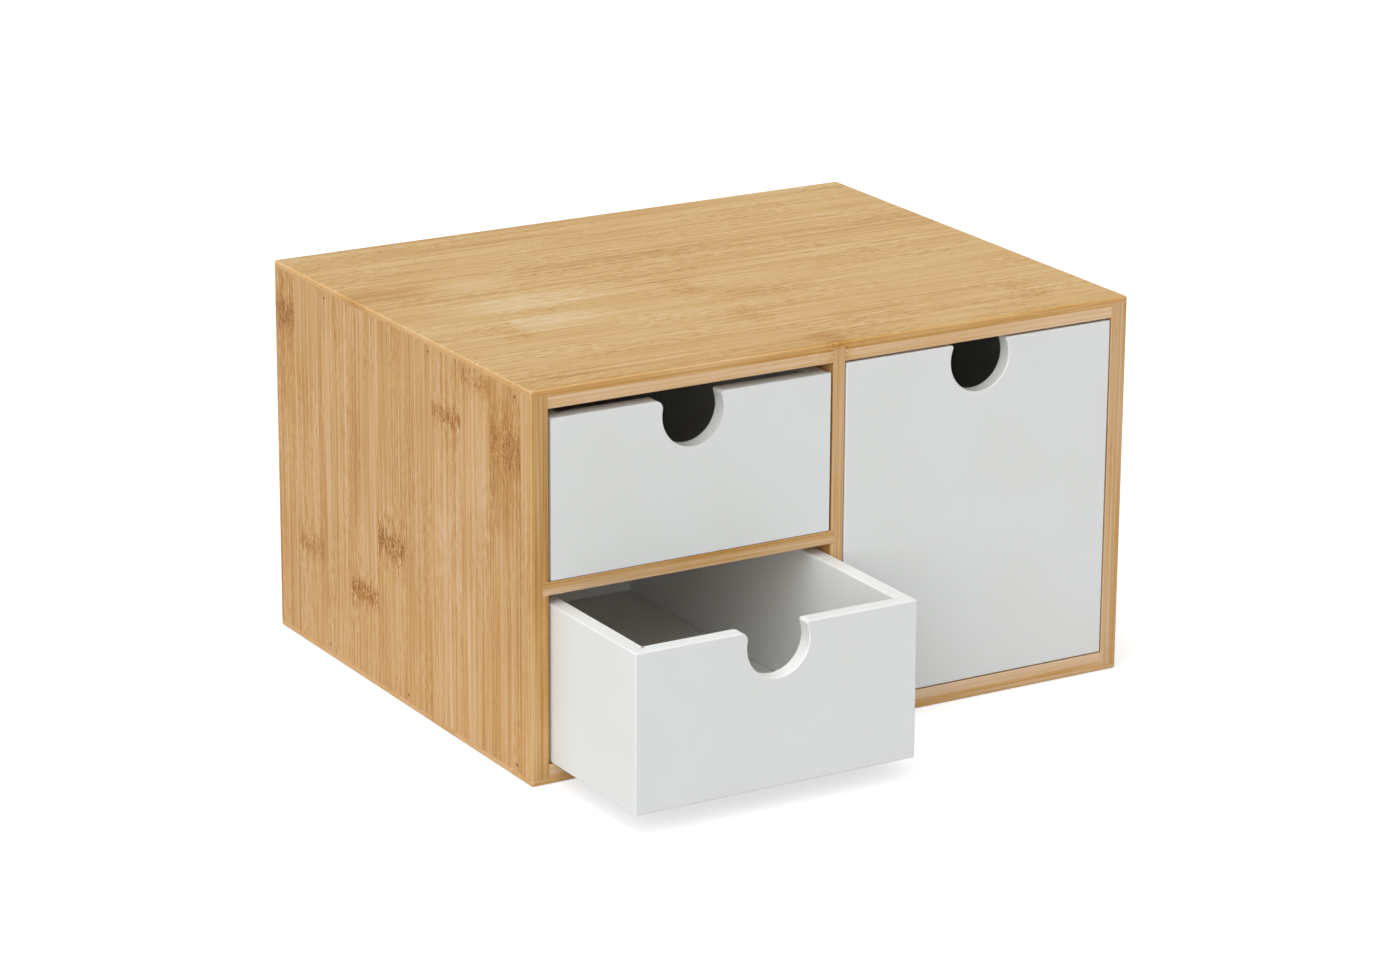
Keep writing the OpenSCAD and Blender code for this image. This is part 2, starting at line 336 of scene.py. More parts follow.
def is_corner(edge):
    """True if an edge is a sharp outward one."""
    closed = len(edge.link_faces) == 2
    return closed and edge.is_convex and edge.calc_face_angle() > SHARP_TURN


def ease(radius, steps, test=lambda edge: True):
    """Rounds the sharp outward edges of the open piece that pass a test."""
    pick("EDGE", lambda edge: is_corner(edge) and test(edge))
    bpy.ops.mesh.bevel(
        offset=radius, offset_type="OFFSET", segments=steps, affect="EDGES", clamp_overlap=False
    )


def close_piece(piece):
    """Leaves edit mode and shades the piece by the size of its faces, so flat ones stay flat."""
    bpy.ops.mesh.select_all(action="SELECT")
    bpy.ops.mesh.normals_make_consistent(inside=False)
    start_clean()
    piece.select_set(True)
    bpy.context.view_layer.objects.active = piece
    bpy.ops.object.shade_smooth_by_angle(angle=SMOOTH_TURN)
    weigh = piece.modifiers.new("Weighted normals", "WEIGHTED_NORMAL")
    weigh.keep_sharp = True
    weigh.weight = 100
    bpy.ops.object.modifier_apply(modifier=weigh.name)


def rods_of(node):
    """The box of each separate rod in a node of brads or pins, from a merged copy of its mesh.

    The points of a mesh are gathered in no fixed order. The rods are sorted by place, so that
    every run bores its holes in the same order and gives the same mesh.
    """
    mesh = bmesh.new()
    mesh.from_mesh(frame["nodes"][node].data)
    bmesh.ops.remove_doubles(mesh, verts=mesh.verts, dist=SAME_PLACE)
    waiting = set(mesh.verts)
    rods = []
    while waiting:
        found = [waiting.pop()]
        for vert in found:
            linked = {edge.other_vert(vert) for edge in vert.link_edges} & waiting
            waiting -= linked
            found += linked
        places = [vert.co for vert in found]
        rods.append((Vector(map(min, zip(*places))), Vector(map(max, zip(*places)))))
    mesh.free()
    return sorted(rods, key=lambda rod: tuple(rod[0]))


def drill(piece, node, axis, gap, run_out=0.0):
    """Bores the holes for a node's brads or pins, which run along one axis.

    gap is the play round a rod, and run_out how much further the hole goes on outwards.
    """
    low, high = Vector(piece.bound_box[0]), Vector(piece.bound_box[6])
    turn = (0, math.pi / 2, 0) if axis == X else (math.pi / 2, 0, 0)
    for rod_low, rod_high in rods_of(node):
        if any(rod_low[i] >= high[i] or rod_high[i] <= low[i] for i in (X, Y, Z)):
            continue
        size = rod_high - rod_low
        middle = (rod_low + rod_high) / 2
        middle[axis] += math.copysign(run_out / 2, middle[axis])
        start_clean()
        bpy.ops.mesh.primitive_cylinder_add(
            vertices=HOLE_STEPS,
            radius=size[Z] / 2 + gap,
            depth=size[axis] + 2 * gap + run_out,
            location=middle,
            rotation=turn,
        )
        cutter = bpy.context.active_object
        bore = piece.modifiers.new("Bore", "BOOLEAN")
        bore.object = cutter
        bore.operation = "DIFFERENCE"
        bore.solver = "EXACT"
        start_clean()
        bpy.context.view_layer.objects.active = piece
        piece.select_set(True)
        bpy.ops.object.modifier_apply(modifier=bore.name)
        start_clean()
        cutter.select_set(True)
        bpy.ops.object.delete()


def fit(piece, node, finish):
    """Gives a finished piece its material and puts it in the place of its solid."""
    piece.data.materials.clear()
    piece.data.materials.append(finish)
    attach(piece, frame["nodes"][node]["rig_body"])
    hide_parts(node)


# ---- finishes ----


class Wiring:
    """Adds nodes to one tree and feeds their inputs with numbers or with other nodes."""

    def __init__(self, tree):
        self.tree = tree
        tree.nodes.clear()

    def add(self, kind, feeds=None, **settings):
        node = self.tree.nodes.new(kind)
        for name, value in settings.items():
            setattr(node, name, value)
        for name, value in (feeds or {}).items():
            self.feed(node.inputs[name], value)
        return node

    def feed(self, socket, value):
        if isinstance(value, bpy.types.NodeSocket):
            self.tree.links.new(value, socket)
        else:
            socket.default_value = value

    def math(self, operation, *values, clamp=False):
        feeds = dict(enumerate(values))
        return self.add("ShaderNodeMath", feeds, operation=operation, use_clamp=clamp).outputs[0]

    def plus(self, a, b):
        return self.math("ADD", a, b)

    def minus(self, a, b):
        return self.math("SUBTRACT", a, b)

    def times(self, a, b):
        return self.math("MULTIPLY", a, b)

    def over(self, a, b):
        return self.math("DIVIDE", a, b)

    def larger(self, a, b):
        return self.math("MAXIMUM", a, b)

    def size(self, value):
        return self.math("ABSOLUTE", value)

    def swing(self, value, amount):
        """Centres a value from 0 to 1 on nought, and scales it by an amount."""
        return self.times(self.minus(value, 0.5), amount)

    def by_chance(self, chance, low, high):
        """A value between low and high, where a chance from 0 to 1 puts it."""
        return self.plus(low, self.times(chance, high - low))

    def total(self, values):
        """The sum of any number of values."""
        result = 0.0
        for value in values:
            result = self.plus(result, value)
        return result

    def to_edge(self, place):
        """How far a place is from the nearest whole number."""
        part = self.math("FRACT", place)
        return self.math("MINIMUM", part, self.minus(1.0, part))

    def spread(self, value, low, high, new_low=0.0, new_high=1.0):
        """Maps low..high to new_low..new_high, smoothly and no further."""
        feeds = {0: value, 1: low, 2: high, 3: new_low, 4: new_high}
        return self.add("ShaderNodeMapRange", feeds, interpolation_type="SMOOTHSTEP").outputs[0]

    def vector(self, operation, *values):
        feeds = dict(enumerate(values))
        return self.add("ShaderNodeVectorMath", feeds, operation=operation).outputs[0]

    def split(self, vector):
        return self.add("ShaderNodeSeparateXYZ", {0: vector}).outputs

    def join(self, x, y, z):
        return self.add("ShaderNodeCombineXYZ", {0: x, 1: y, 2: z}).outputs[0]

    def blend(self, amount, first, second, kind="MIX"):
        """Mixes two colours, each a socket or three numbers."""
        first, second = (
            hue if isinstance(hue, bpy.types.NodeSocket) else (*hue, 1) for hue in (first, second)
        )
        feeds = {0: amount, 6: first, 7: second}
        return self.add("ShaderNodeMix", feeds, data_type="RGBA", blend_type=kind).outputs[2]

    def noise(self, vector, stretch, detail=2.0, roughness=0.5):
        """Noise whose features are 1/stretch long in each direction."""
        placed = self.vector("MULTIPLY", vector, stretch)
        feeds = {"Vector": placed, "Scale": 1.0, "Detail": detail, "Roughness": roughness}
        return self.add("ShaderNodeTexNoise", feeds).outputs["Fac"]

    def bump(self, height, strength, depth):
        feeds = {"Height": height, "Strength": strength, "Distance": depth}
        return self.add("ShaderNodeBump", feeds).outputs[0]

    def group(self, name, feeds):
        """Adds a node group and gives its outputs."""
        return self.add("ShaderNodeGroup", feeds, node_tree=bpy.data.node_groups[name]).outputs


def group_wiring(name, takes, gives):
    """The wiring of a new node group, and what it is given.

    takes names each input with its socket kind and default, gives each output with its kind.
    """
    tree = bpy.data.node_groups.new(name, "ShaderNodeTree")
    for label, kind, default in takes:
        socket = tree.interface.new_socket(name=label, in_out="INPUT", socket_type=kind)
        if default is not None:
            socket.default_value = default
    for label, kind in gives:
        tree.interface.new_socket(name=label, in_out="OUTPUT", socket_type=kind)
    w = Wiring(tree)
    return w, w.add("NodeGroupInput").outputs


FLOAT, VECTOR, COLOUR = "NodeSocketFloat", "NodeSocketVector", "NodeSocketColor"

# How much of a strip's width each ply is shifted by, and in millimetres, how far along its
# strip a knot may be that the strip brings with it, and how long
PLY_SHIFT = 0.37
OWN_KNOT_ALONG = (-60.0, 360.0)
OWN_KNOT_LENGTH = (5.0, 12.0)
# The layers of fibre in the bamboo: how many features a millimetre holds along the grain and
# across it, the detail and roughness of their noise, and how far they swing the tone
FIBRES = {
    "hair": (0.012, 1.25, 2.0, 0.5, 0.78),
    "line": (0.008, 0.62, 3.0, 0.6, 0.75),
    "band": (0.009, 0.13, 2.0, 0.5, 0.27),
    "drift": (0.022, 0.03, 2.0, 0.5, 0.24),
}
# The tone of plain bamboo, from 0, dark, to 1, pale, and how far each thing moves it
TONE = {
    "plain": 0.60,
    "strip": 0.16,  # between the darkest strip and the palest
    "dash": 0.62,  # between the short dashes
    "seam": 0.07,  # down at a glue line
    "knot": 0.49,  # down in a knot
    "fleck": 0.42,  # back up in a knot's pale flecks
    "near knot": 0.04,  # down near a knot
    "arris_highlight": 0.14,  # up on a worn arris
    "end": -0.14,  # up on a rounded arris: a painted highlight
}


def knot_group():
    """Group that marks one knot: the band across a strip where the cane had a joint.

    The board's coordinates are in millimetres: along the grain, across it, and through.
    Knot is the band itself, and Near the wider stretch where the fibres ripple.
    """
    takes = [
        ("Grain", VECTOR, None),
        ("Along", FLOAT, 0.0),
        ("Across", FLOAT, 0.0),
        ("Length", FLOAT, 8.0),
        ("Width", FLOAT, 22.0),
        ("Strength", FLOAT, 1.0),
    ]
    w, given = group_wiring("Bamboo knot", takes, [("Knot", FLOAT), ("Near", FLOAT)])
    u, v, _ = w.split(given["Grain"])

    # Along the grain: the band has ragged ends, and both fade out in half lengths of the knot
    half = w.times(given["Length"], 0.5)
    away = w.minus(u, given["Along"])
    ragged = w.noise(w.join(u, v, 0.0), (0.08, 0.75, 0), detail=3.0, roughness=0.75)
    ragged = w.swing(ragged, w.times(half, 3.2))
    band = w.spread(w.over(w.size(w.plus(away, ragged)), half), 1.25, 0.45)
    near = w.spread(w.over(w.size(away), half), 3.6, 0.6)

    # Across it: both stop at the glue lines of their strip, within a millimetre
    aside = w.size(w.minus(v, given["Across"]))
    past_line = w.minus(aside, w.times(given["Width"], 0.5))
    inside = w.times(w.spread(past_line, 0.4, -0.5), given["Strength"])
    w.add("NodeGroupOutput", {"Knot": w.times(band, inside), "Near": w.times(near, inside)})


def bamboo_group(look):
    """Group that gives laminated bamboo its colour, roughness and relief.

    The board's coordinates are in millimetres: along the grain, across it, and through.
    """
    takes = [
        ("Grain", VECTOR, None),
        ("Knot", FLOAT, 0.0),
        ("Near", FLOAT, 0.0),
        ("Tone", FLOAT, 0.0),
        ("Strip start", FLOAT, 0.0),
        ("Ply", FLOAT, 3.5),
        ("Seed", FLOAT, 0.0),
        ("Own strips", FLOAT, 1.0),
        ("Own knots", FLOAT, 1.0),
        ("Contrast", FLOAT, 1.0),
        ("Mottle", FLOAT, 1.0),
        ("Tint", COLOUR, (1, 1, 1, 1)),
    ]
    gives = [("Color", COLOUR), ("Roughness", FLOAT), ("Relief", FLOAT)]
    w, given = group_wiring("Laminated bamboo", takes, gives)
    u, v, t = w.split(given["Grain"])
    strip_mm = look.strip / MM

    # Which strip and which ply this point is in, and how far it is from their glue lines
    ply_place = w.over(t, given["Ply"])
    ply = w.math("FLOOR", ply_place)
    place = w.over(w.minus(v, given["Strip start"]), strip_mm)
    place = w.plus(place, w.times(ply, PLY_SHIFT))
    strip = w.math("FLOOR", place)
    address = w.join(strip, ply, given["Seed"])
    dice = w.add("ShaderNodeTexWhiteNoise", {"Vector": address}, noise_dimensions="3D")
    roll = w.split(dice.outputs["Color"])
    seam_mm = w.times(w.to_edge(place), strip_mm)
    ply_mm = w.times(w.to_edge(ply_place), given["Ply"])
    seam = w.spread(w.math("MINIMUM", seam_mm, ply_mm), 0.22, 0.05)

    # Knots that the strips bring with them, each at its own place along its strip
    feeds = {
        "Grain": given["Grain"],
        "Along": w.by_chance(roll[1], *OWN_KNOT_ALONG),
        "Across": v,
        "Length": w.by_chance(roll[2], *OWN_KNOT_LENGTH),
        "Strength": given["Own knots"],
    }
    own = w.group("Bamboo knot", feeds)
    knot = w.larger(given["Knot"], own["Knot"])
    near = w.larger(given["Near"], own["Near"])

    # Fibres: straight lines that wander a little, and ripple past a knot
    slow = w.noise(given["Grain"], (0.008, 0.03, 0.03), detail=1.0)
    ripple = w.noise(given["Grain"], (0.42, 0.30, 0.30), detail=1.0)
    bend = w.plus(w.swing(slow, 1.8), w.swing(ripple, w.times(near, 3.4)))
    fibre = w.join(
        w.plus(u, w.times(roll[0], 300.0)), w.plus(v, bend), w.plus(t, w.times(roll[1], 50.0))
    )
    layers = {
        name: w.noise(fibre, (lengthwise, across, across), detail, roughness)
        for name, (lengthwise, across, detail, roughness, _) in FIBRES.items()
    }

    # Short dashes, strongest in some patches and near a knot, and flecks inside the knot
    dash = w.noise(fibre, (0.22, 1.05, 1.05), detail=2.0, roughness=0.6)
    patches = w.noise(fibre, (0.02, 0.07, 0.07), detail=1.0)
    dashed = w.times(w.spread(patches, 0.42, 0.62, 0.35, 1.3), given["Mottle"])
    dashed = w.plus(dashed, w.times(near, 1.5))
    fleck = w.noise(fibre, (0.75, 1.5, 1.5), detail=2.0, roughness=0.55)
    fleck = w.spread(fleck, 0.40, 0.58)

    # One tone from 0, dark, to 1, pale, takes in everything above
    own_tone = w.times(w.swing(roll[0], TONE["strip"]), given["Own strips"])
    tone = w.plus(w.plus(TONE["plain"], given["Tone"]), own_tone)
    swings = [w.swing(layers[name], row[-1]) for name, row in FIBRES.items()]
    swings.append(w.times(w.swing(dash, TONE["dash"]), dashed))
    contrast = w.times(given["Contrast"], look.fibre_contrast)
    tone = w.plus(tone, w.times(w.total(swings), contrast))
    tone = w.minus(tone, w.times(seam, TONE["seam"]))
    in_knot = w.minus(TONE["knot"], w.times(fleck, TONE["fleck"]))
    tone = w.minus(tone, w.times(knot, in_knot))
    tone = w.math("SUBTRACT", tone, w.times(near, TONE["near knot"]), clamp=True)

    ramp = w.add("ShaderNodeValToRGB", {0: tone})
    stops = ramp.color_ramp.elements
    stops[0].position, stops[0].color = 0.0, (*look.fleck, 1)
    stops[1].position, stops[1].color = 1.0, (*look.straw, 1)
    for at, hue in ((0.25, look.knot), (0.45, look.amber), (0.62, look.honey)):
        stops.new(at).color = (*hue, 1)

    hair, line = layers["hair"], layers["line"]
    rough = w.plus(w.plus(0.40, w.times(line, 0.12)), w.times(knot, 0.06))
    relief = w.plus(w.times(hair, 0.3), w.times(line, 0.4))
    relief = w.minus(relief, w.times(seam, 0.5))
    relief = w.plus(relief, w.times(w.times(knot, fleck), 0.3))
    dyed = w.blend(1.0, ramp.outputs[0], given["Tint"], kind="MULTIPLY")
    w.add("NodeGroupOutput", {"Color": dyed, "Roughness": rough, "Relief": relief})


def new_finish(name):
    """A material with a shader that its own nodes feed, and their wiring."""
    finish = bpy.data.materials.new(name)
    finish.use_nodes = True
    w = Wiring(finish.node_tree)
    shader = w.add("ShaderNodeBsdfPrincipled")
    w.add("ShaderNodeOutputMaterial", {"Surface": shader.outputs[0]})
    return finish, w, shader


def mark_knots(w, grain, start, strip_mm, knots):
    """Marks a board's knots, each on its strip: the bands, and the stretches near them."""
    knot, near = 0.0, 0.0
    for along_mm, across_mm, long_mm, strength in knots:
        strip = math.floor((across_mm - start) / strip_mm)
        feeds = {
            "Grain": grain,
            "Along": along_mm,
            "Across": start + (strip + 0.5) * strip_mm,
            "Length": long_mm,
            "Width": strip_mm,
            "Strength": strength,
        }
        marks = w.group("Bamboo knot", feeds)
        knot = w.larger(knot, marks["Knot"])
        near = w.larger(near, marks["Near"])
    return knot, near


def stain_and_sheen_tone(w, u, v, tone_patch):
    """The tone of one oval patch, strongest at its middle. Most patches are stains; the big pale
    ones on the top panel are a painted sheen.
    """
    along_mm, across_mm, long_mm, wide_mm, amount = tone_patch
    du = w.over(w.minus(u, along_mm), long_mm / 2)
    dv = w.over(w.minus(v, across_mm), wide_mm / 2)
    away = w.math("POWER", w.plus(w.times(du, du), w.times(dv, dv)), 0.5)
    return w.spread(away, 1.0, 0.0, 0.0, -amount)


def strip_tone(w, v, start, strip_mm, strips):
    """The tone of a board's strips, one after another from the strip before the first line."""
    ramp = w.add("ShaderNodeValToRGB")
    ramp.color_ramp.interpolation = "CONSTANT"
    stops = ramp.color_ramp.elements
    stops.remove(stops[1])
    for i, value in enumerate(strips):
        stop = stops[0] if i == 0 else stops.new(i / len(strips))
        stop.color = (value + 0.5,) * 3 + (1,)
    first = w.minus(v, start - strip_mm)
    w.feed(ramp.inputs[0], w.over(first, strip_mm * len(strips)))
    return w.minus(ramp.outputs[0], 0.5)


def bamboo_finish(node, corner, order):
    """Lacquered bamboo for one board, cut as CUTS says.

    corner is where its millimetres start, and order the axes along, across and through it.
    """
    look = bpy.context.scene.bamboo
    cut = CUTS[node]
    start, strips = cut["start"], cut.get("strips")
    strip_mm = look.strip / MM
    finish, w, shader = new_finish(f"Bamboo {node}")
    coordinates = w.add("ShaderNodeTexCoord").outputs
    place = w.vector("SUBTRACT", coordinates["Object"], tuple(corner))
    axes = w.split(w.vector("MULTIPLY", place, (1 / MM,) * 3))
    u, v, t = (axes[i] for i in order)
    grain = w.join(u, v, t)

    # Which way the surface looks: a sawn end, a long edge, or a rounded arris between two, which
    # is painted paler as a highlight
    facing = [w.size(part) for part in w.split(coordinates["Normal"])]
    end, side = (w.spread(facing[i], 0.55, 0.9) for i in order[:2])
    edge_on = w.larger(end, side)
    steepest = w.larger(w.larger(facing[X], facing[Y]), facing[Z])
    # A rounded arris gets paler tone wherever it is: a painted highlight
    arris_highlight = w.spread(steepest, 0.97, 0.80)
    far_ply = w.times(side, w.math("GREATER_THAN", t, cut["ply"]))

    knot, near = mark_knots(w, grain, start, strip_mm, cut.get("knots", ()))
    tones = [
        w.times(end, cut.get("end", TONE["end"])),
        w.times(side, cut.get("edge", 0.0)),
        w.times(arris_highlight, TONE["arris_highlight"]),
        w.times(far_ply, cut.get("edge_step", 0.0)),
    ]
    tones += [stain_and_sheen_tone(w, u, v, tone_patch) for tone_patch in cut.get("stains_and_sheen", ())]
    if strips:
        tones.append(strip_tone(w, v, start, strip_mm, strips))

    plain = (1, 1, 1)
    feeds = {
        "Grain": grain,
        "Knot": knot,
        "Near": near,
        "Tone": w.total(tones),
        "Strip start": start,
        "Ply": cut["ply"],
        "Seed": float(look.seed + cut["seed"]),
        "Own strips": 0.0 if strips else 1.0,
        "Own knots": 0.0 if "knots" in cut else 1.0,
        "Contrast": w.spread(end, 0.0, 1.0, cut.get("contrast", 1.0), 0.4),
        "Mottle": w.spread(edge_on, 0.0, 1.0, cut.get("mottle", 1.0), 0.25),
        "Tint": w.blend(edge_on, cut.get("tint", plain), cut.get("edge_tint", plain)),
    }
    wood = w.group("Laminated bamboo", feeds)
    w.feed(shader.inputs["Base Color"], wood["Color"])
    w.feed(shader.inputs["Roughness"], wood["Roughness"])
    w.feed(shader.inputs["Normal"], w.bump(wood["Relief"], strength=0.5, depth=0.04 * MM))
    shader.inputs["IOR"].default_value = 1.45
    shader.inputs["Specular IOR Level"].default_value = 0.3
    return finish


def paint_finish():
    """Satin white paint: a sprayed coat with a faint ripple, cloudy here and there."""
    look = bpy.context.scene.paint
    finish, w, shader = new_finish("White paint")
    place = w.add("ShaderNodeTexCoord").outputs["Object"]
    ripple = w.noise(place, (1 / look.grain,) * 3, detail=2.0)
    cloud = w.noise(place, (28.0, 28.0, 28.0), detail=3.0)
    speck = w.noise(place, (2400.0, 2400.0, 2400.0), detail=1.0)
    height = w.plus(ripple, w.times(speck, 0.15))
    hue = w.blend(w.spread(cloud, 0.3, 0.7), look.body, look.thin)
    w.feed(shader.inputs["Base Color"], hue)
    w.feed(shader.inputs["Roughness"], w.plus(0.38, w.times(cloud, 0.12)))
    w.feed(shader.inputs["Normal"], w.bump(height, strength=0.35, depth=0.03 * MM))
    shader.inputs["IOR"].default_value = 1.45
    return finish


def steel_finish():
    """Bright steel wire, with fine lines from its drawing and dull spots."""
    finish, w, shader = new_finish("Brad steel")
    place = w.add("ShaderNodeTexCoord").outputs["Object"]
    drawn = w.noise(place, (900.0, 5000.0, 5000.0), detail=2.0)
    dull = w.noise(place, (1500.0, 1500.0, 1500.0), detail=2.0)
    tint = w.add("ShaderNodeValToRGB", {0: dull})
    stops = tint.color_ramp.elements
    stops[0].position, stops[0].color = 0.35, (0.10, 0.085, 0.07, 1)
    stops[1].position, stops[1].color = 0.75, (0.38, 0.37, 0.36, 1)
    w.feed(shader.inputs["Base Color"], tint.outputs[0])
    w.feed(shader.inputs["Roughness"], w.plus(0.35, w.times(drawn, 0.3)))
    shader.inputs["Metallic"].default_value = 1.0
    return finish


# How each board was cut, in millimetres: where its first glue line is, how thick its plies
# are and its own seed. Then, where the photograph shows them: the tone of its strips, long
# edges and sawn ends, the step in tone between the plies of an edge, how strong the grain
# and the mottle of its faces are, a tint of its faces and of its edges, its knots (along,
# across, length, strength) and its stains and painted sheen (along, across, length, width,
# amount). A tone above 0 is paler than the board's own, and a patch's amount above 0 is darker.
CUTS = {
    "left_side": {
        "start": 7.0,
        "ply": 4.5,
        "seed": 1,
        "edge": -0.04,
        "edge_step": -0.04,
        "strips": (0.04, -0.06, 0.02, 0.07, -0.02, -0.03, -0.01, 0.0, 0.0, -0.05),
        "knots": (
            (119.5, 16.8, 17.0, 0.75),
            (138.5, 39.0, 8.0, 0.6),
            (120.0, 60.5, 6.0, 0.8),
            (58.8, 104.7, 10.0, 1.0),
            (34.3, 128.9, 8.5, 1.0),
            (41.3, 171.0, 10.0, 0.55),
            (126.6, 187.0, 12.0, 0.8),
        ),
        "stains_and_sheen": (
            (98.0, 20.0, 50.0, 20.0, 0.12),
            (134.0, 18.0, 26.0, 26.0, 0.10),
            (104.0, 38.0, 64.0, 22.0, -0.08),
            (74.0, 47.0, 60.0, 14.0, 0.10),
            (70.0, 60.0, 120.0, 22.0, -0.08),
            (25.0, 105.0, 60.0, 22.0, -0.06),
            (52.0, 128.0, 50.0, 24.0, -0.10),
            (90.0, 128.0, 34.0, 16.0, 0.08),
            (40.0, 158.0, 70.0, 12.0, 0.08),
            (130.0, 178.0, 60.0, 16.0, -0.04),
            (112.0, 191.0, 80.0, 24.0, 0.12),
            (36.0, 196.0, 100.0, 18.0, 0.10),
        ),
    },
    "top_panel": {
        "start": 14.0,
        "ply": 4.4,
        "seed": 2,
        "edge": 0.25,
        "edge_step": -0.29,
        "edge_tint": (1.10, 1.11, 1.12),
        "end": 0.0,
        "contrast": 0.85,
        "mottle": 1.45,
        "tint": (0.965, 1.025, 0.93),
        "strips": (-0.02, 0.0, 0.02, 0.03, 0.03, 0.0, -0.04, 0.0, 0.01, 0.0),
        "knots": (
            (124.0, 5.0, 10.0, 0.45),
            (30.0, 68.0, 11.0, 0.34),
            (114.0, 98.0, 12.0, 0.30),
            (116.0, 44.0, 13.0, 0.28),
            (222.0, 24.0, 12.0, 0.36),
        ),
        "stains_and_sheen": (
            (4.0, 133.0, 110.0, 26.0, 0.16),
            # A painted sheen: these three big pale patches are a soft reflection on the lacquer,
            # painted as paler tone
            (50.0, 74.0, 70.0, 30.0, -0.26),
            (52.0, 102.0, 100.0, 34.0, -0.27),
            (46.0, 132.0, 60.0, 26.0, -0.18),
            (134.0, 73.0, 60.0, 18.0, 0.14),
            (130.0, 50.0, 70.0, 24.0, 0.07),
            (175.0, 9.0, 90.0, 16.0, -0.12),
            (25.0, 10.0, 80.0, 4.0, 0.12),
            (200.0, 12.0, 60.0, 10.0, 0.06),
        ),
    },
    "bottom_panel": {
        "start": 14.0,
        "ply": 3.75,
        "seed": 3,
        "edge": 0.05,
        "edge_step": 0.22,
        "edge_tint": (1.10, 1.11, 1.12),
        "end": 0.0,
    },
    "right_side": {"start": 10.0, "ply": 4.5, "seed": 4, "edge": 0.14, "edge_step": -0.07},
    "divider": {"start": 12.0, "ply": 2.5, "seed": 5, "edge": 0.14},
    "shelf": {"start": 17.0, "ply": 2.5, "seed": 6, "edge": 0.10},
    "back_panel": {"start": 4.0, "ply": 3.0, "seed": 7},
}


# ---- carcass ----


def ease_carcass_board(settings):
    """Eases the outer edges and openings of a board, and breaks its edges at the glue lines."""

    def round_opening(edge):
        return along(edge, Y, FRONT) and any(borders(edge, o, X, Z) for o in OPENINGS)

    reach = settings.outer_ease + SAME_PLACE
    ease(settings.outer_ease, OUTER_STEPS, lambda edge: planes_shared(edge, CARCASS) > 1)
    ease(settings.opening_ease, OPENING_STEPS, round_opening)
    ease(settings.glue_line, GLUE_STEPS, lambda edge: near_outside(edge, CARCASS, reach))


class ORGANIZER_OT_panels(bpy.types.Operator):
    """Cut the top and bottom panels: lips at the ends, a housing and a rebate for the back"""

    bl_idname = "organizer.panels"
    bl_label = "Top and Bottom Panels"

    def execute(self, context):
        bottom = (FLOOR, LEFT_LOW.z, DIVIDER_LOW.z, BACK_LOW.z, IN_LOW)
        top = (TOP_HIGH.z, LEFT_HIGH.z, DIVIDER_HIGH.z, BACK_HIGH.z, IN_HIGH)
        self.panel("bottom_panel", bottom, context.scene.boards)
        self.panel("top_panel", top, context.scene.boards)
        return {"FINISHED"}

    def panel(self, node, heights, settings):
        """heights are those of the skin, the lips, the housing, the back's edge and the inside."""
        skin, lip, housing, back_edge, inner = heights
        rebate = back_edge - math.copysign(settings.back_gap, inner - skin)
        piece = board_blank(node, (LEFT_LOW.x, FRONT, skin), (RIGHT_HIGH.x, REAR, lip))

        def in_housing(centre):
            return DIVIDER_LOW.x < centre.x < DIVIDER_HIGH.x and centre.y < IN_BACK

        score(X, IN_LEFT, IN_RIGHT)
        raise_faces(Z, lip, housing, lambda centre: IN_LEFT < centre.x < IN_RIGHT)
        score(X, DIVIDER_LOW.x, DIVIDER_HIGH.x)
        score(Y, IN_BACK)
        raise_faces(Z, housing, rebate, lambda centre: not in_housing(centre))
        raise_faces(
            Z, rebate, inner, lambda centre: centre.y < IN_BACK and not in_housing(centre)
        )
        ease_carcass_board(settings)
        close_piece(piece)
        drill(piece, "left_side_brads", X, settings.nail_gap)
        drill(piece, "right_side_brads", X, settings.nail_gap)
        drill(piece, "back_panel_pins", Y, settings.nail_gap, RUN_OUT)
        corner = (LEFT_LOW.x, FRONT, min(skin, inner))
        fit(piece, node, bamboo_finish(node, corner, (X, Y, Z)))


class ORGANIZER_OT_sides(bpy.types.Operator):
    """Cut the two sides: a housing for the shelf, a rebate for the back and the brad holes"""

    bl_idname = "organizer.sides"
    bl_label = "Sides"

    def execute(self, context):
        settings = context.scene.boards
        self.side("left_side", LEFT_LOW.x, IN_LEFT, BACK_LOW.x - settings.back_gap, settings)
        self.side("right_side", RIGHT_HIGH.x, IN_RIGHT, BACK_HIGH.x + settings.back_gap, settings)
        return {"FINISHED"}

    def side(self, node, outer, inner, rebate, settings):
        rebate_low = BACK_LOW.z - settings.back_gap
        rebate_high = BACK_HIGH.z + settings.back_gap
        housed = node == "left_side"
        piece = board_blank(node, (outer, FRONT, LEFT_LOW.z), (rebate, REAR, LEFT_HIGH.z))

        def in_rebate(centre):
            return centre.y > IN_BACK and rebate_low < centre.z < rebate_high

        def in_housing(centre):
            return housed and centre.y < IN_BACK and SHELF_LOW.z < centre.z < SHELF_HIGH.z

        score(Y, IN_BACK)
        score(Z, rebate_low, rebate_high, IN_LOW, IN_HIGH)
        bottom = SHELF_LOW.x if housed else (rebate + inner) / 2
        raise_faces(X, rebate, bottom, lambda centre: not in_rebate(centre))
        if housed:
            score(Z, SHELF_LOW.z, SHELF_HIGH.z)
        raise_faces(
            X, bottom, inner, lambda centre: not in_rebate(centre) and not in_housing(centre)
        )
        ease_carcass_board(settings)
        close_piece(piece)
        drill(piece, f"{node}_brads", X, settings.nail_gap, RUN_OUT)
        drill(piece, "back_panel_pins", Y, settings.nail_gap, RUN_OUT)
        corner = (min(outer, inner) - MM, FRONT, FLOOR)
        fit(piece, node, bamboo_finish(node, corner, (Z, Y, X)))


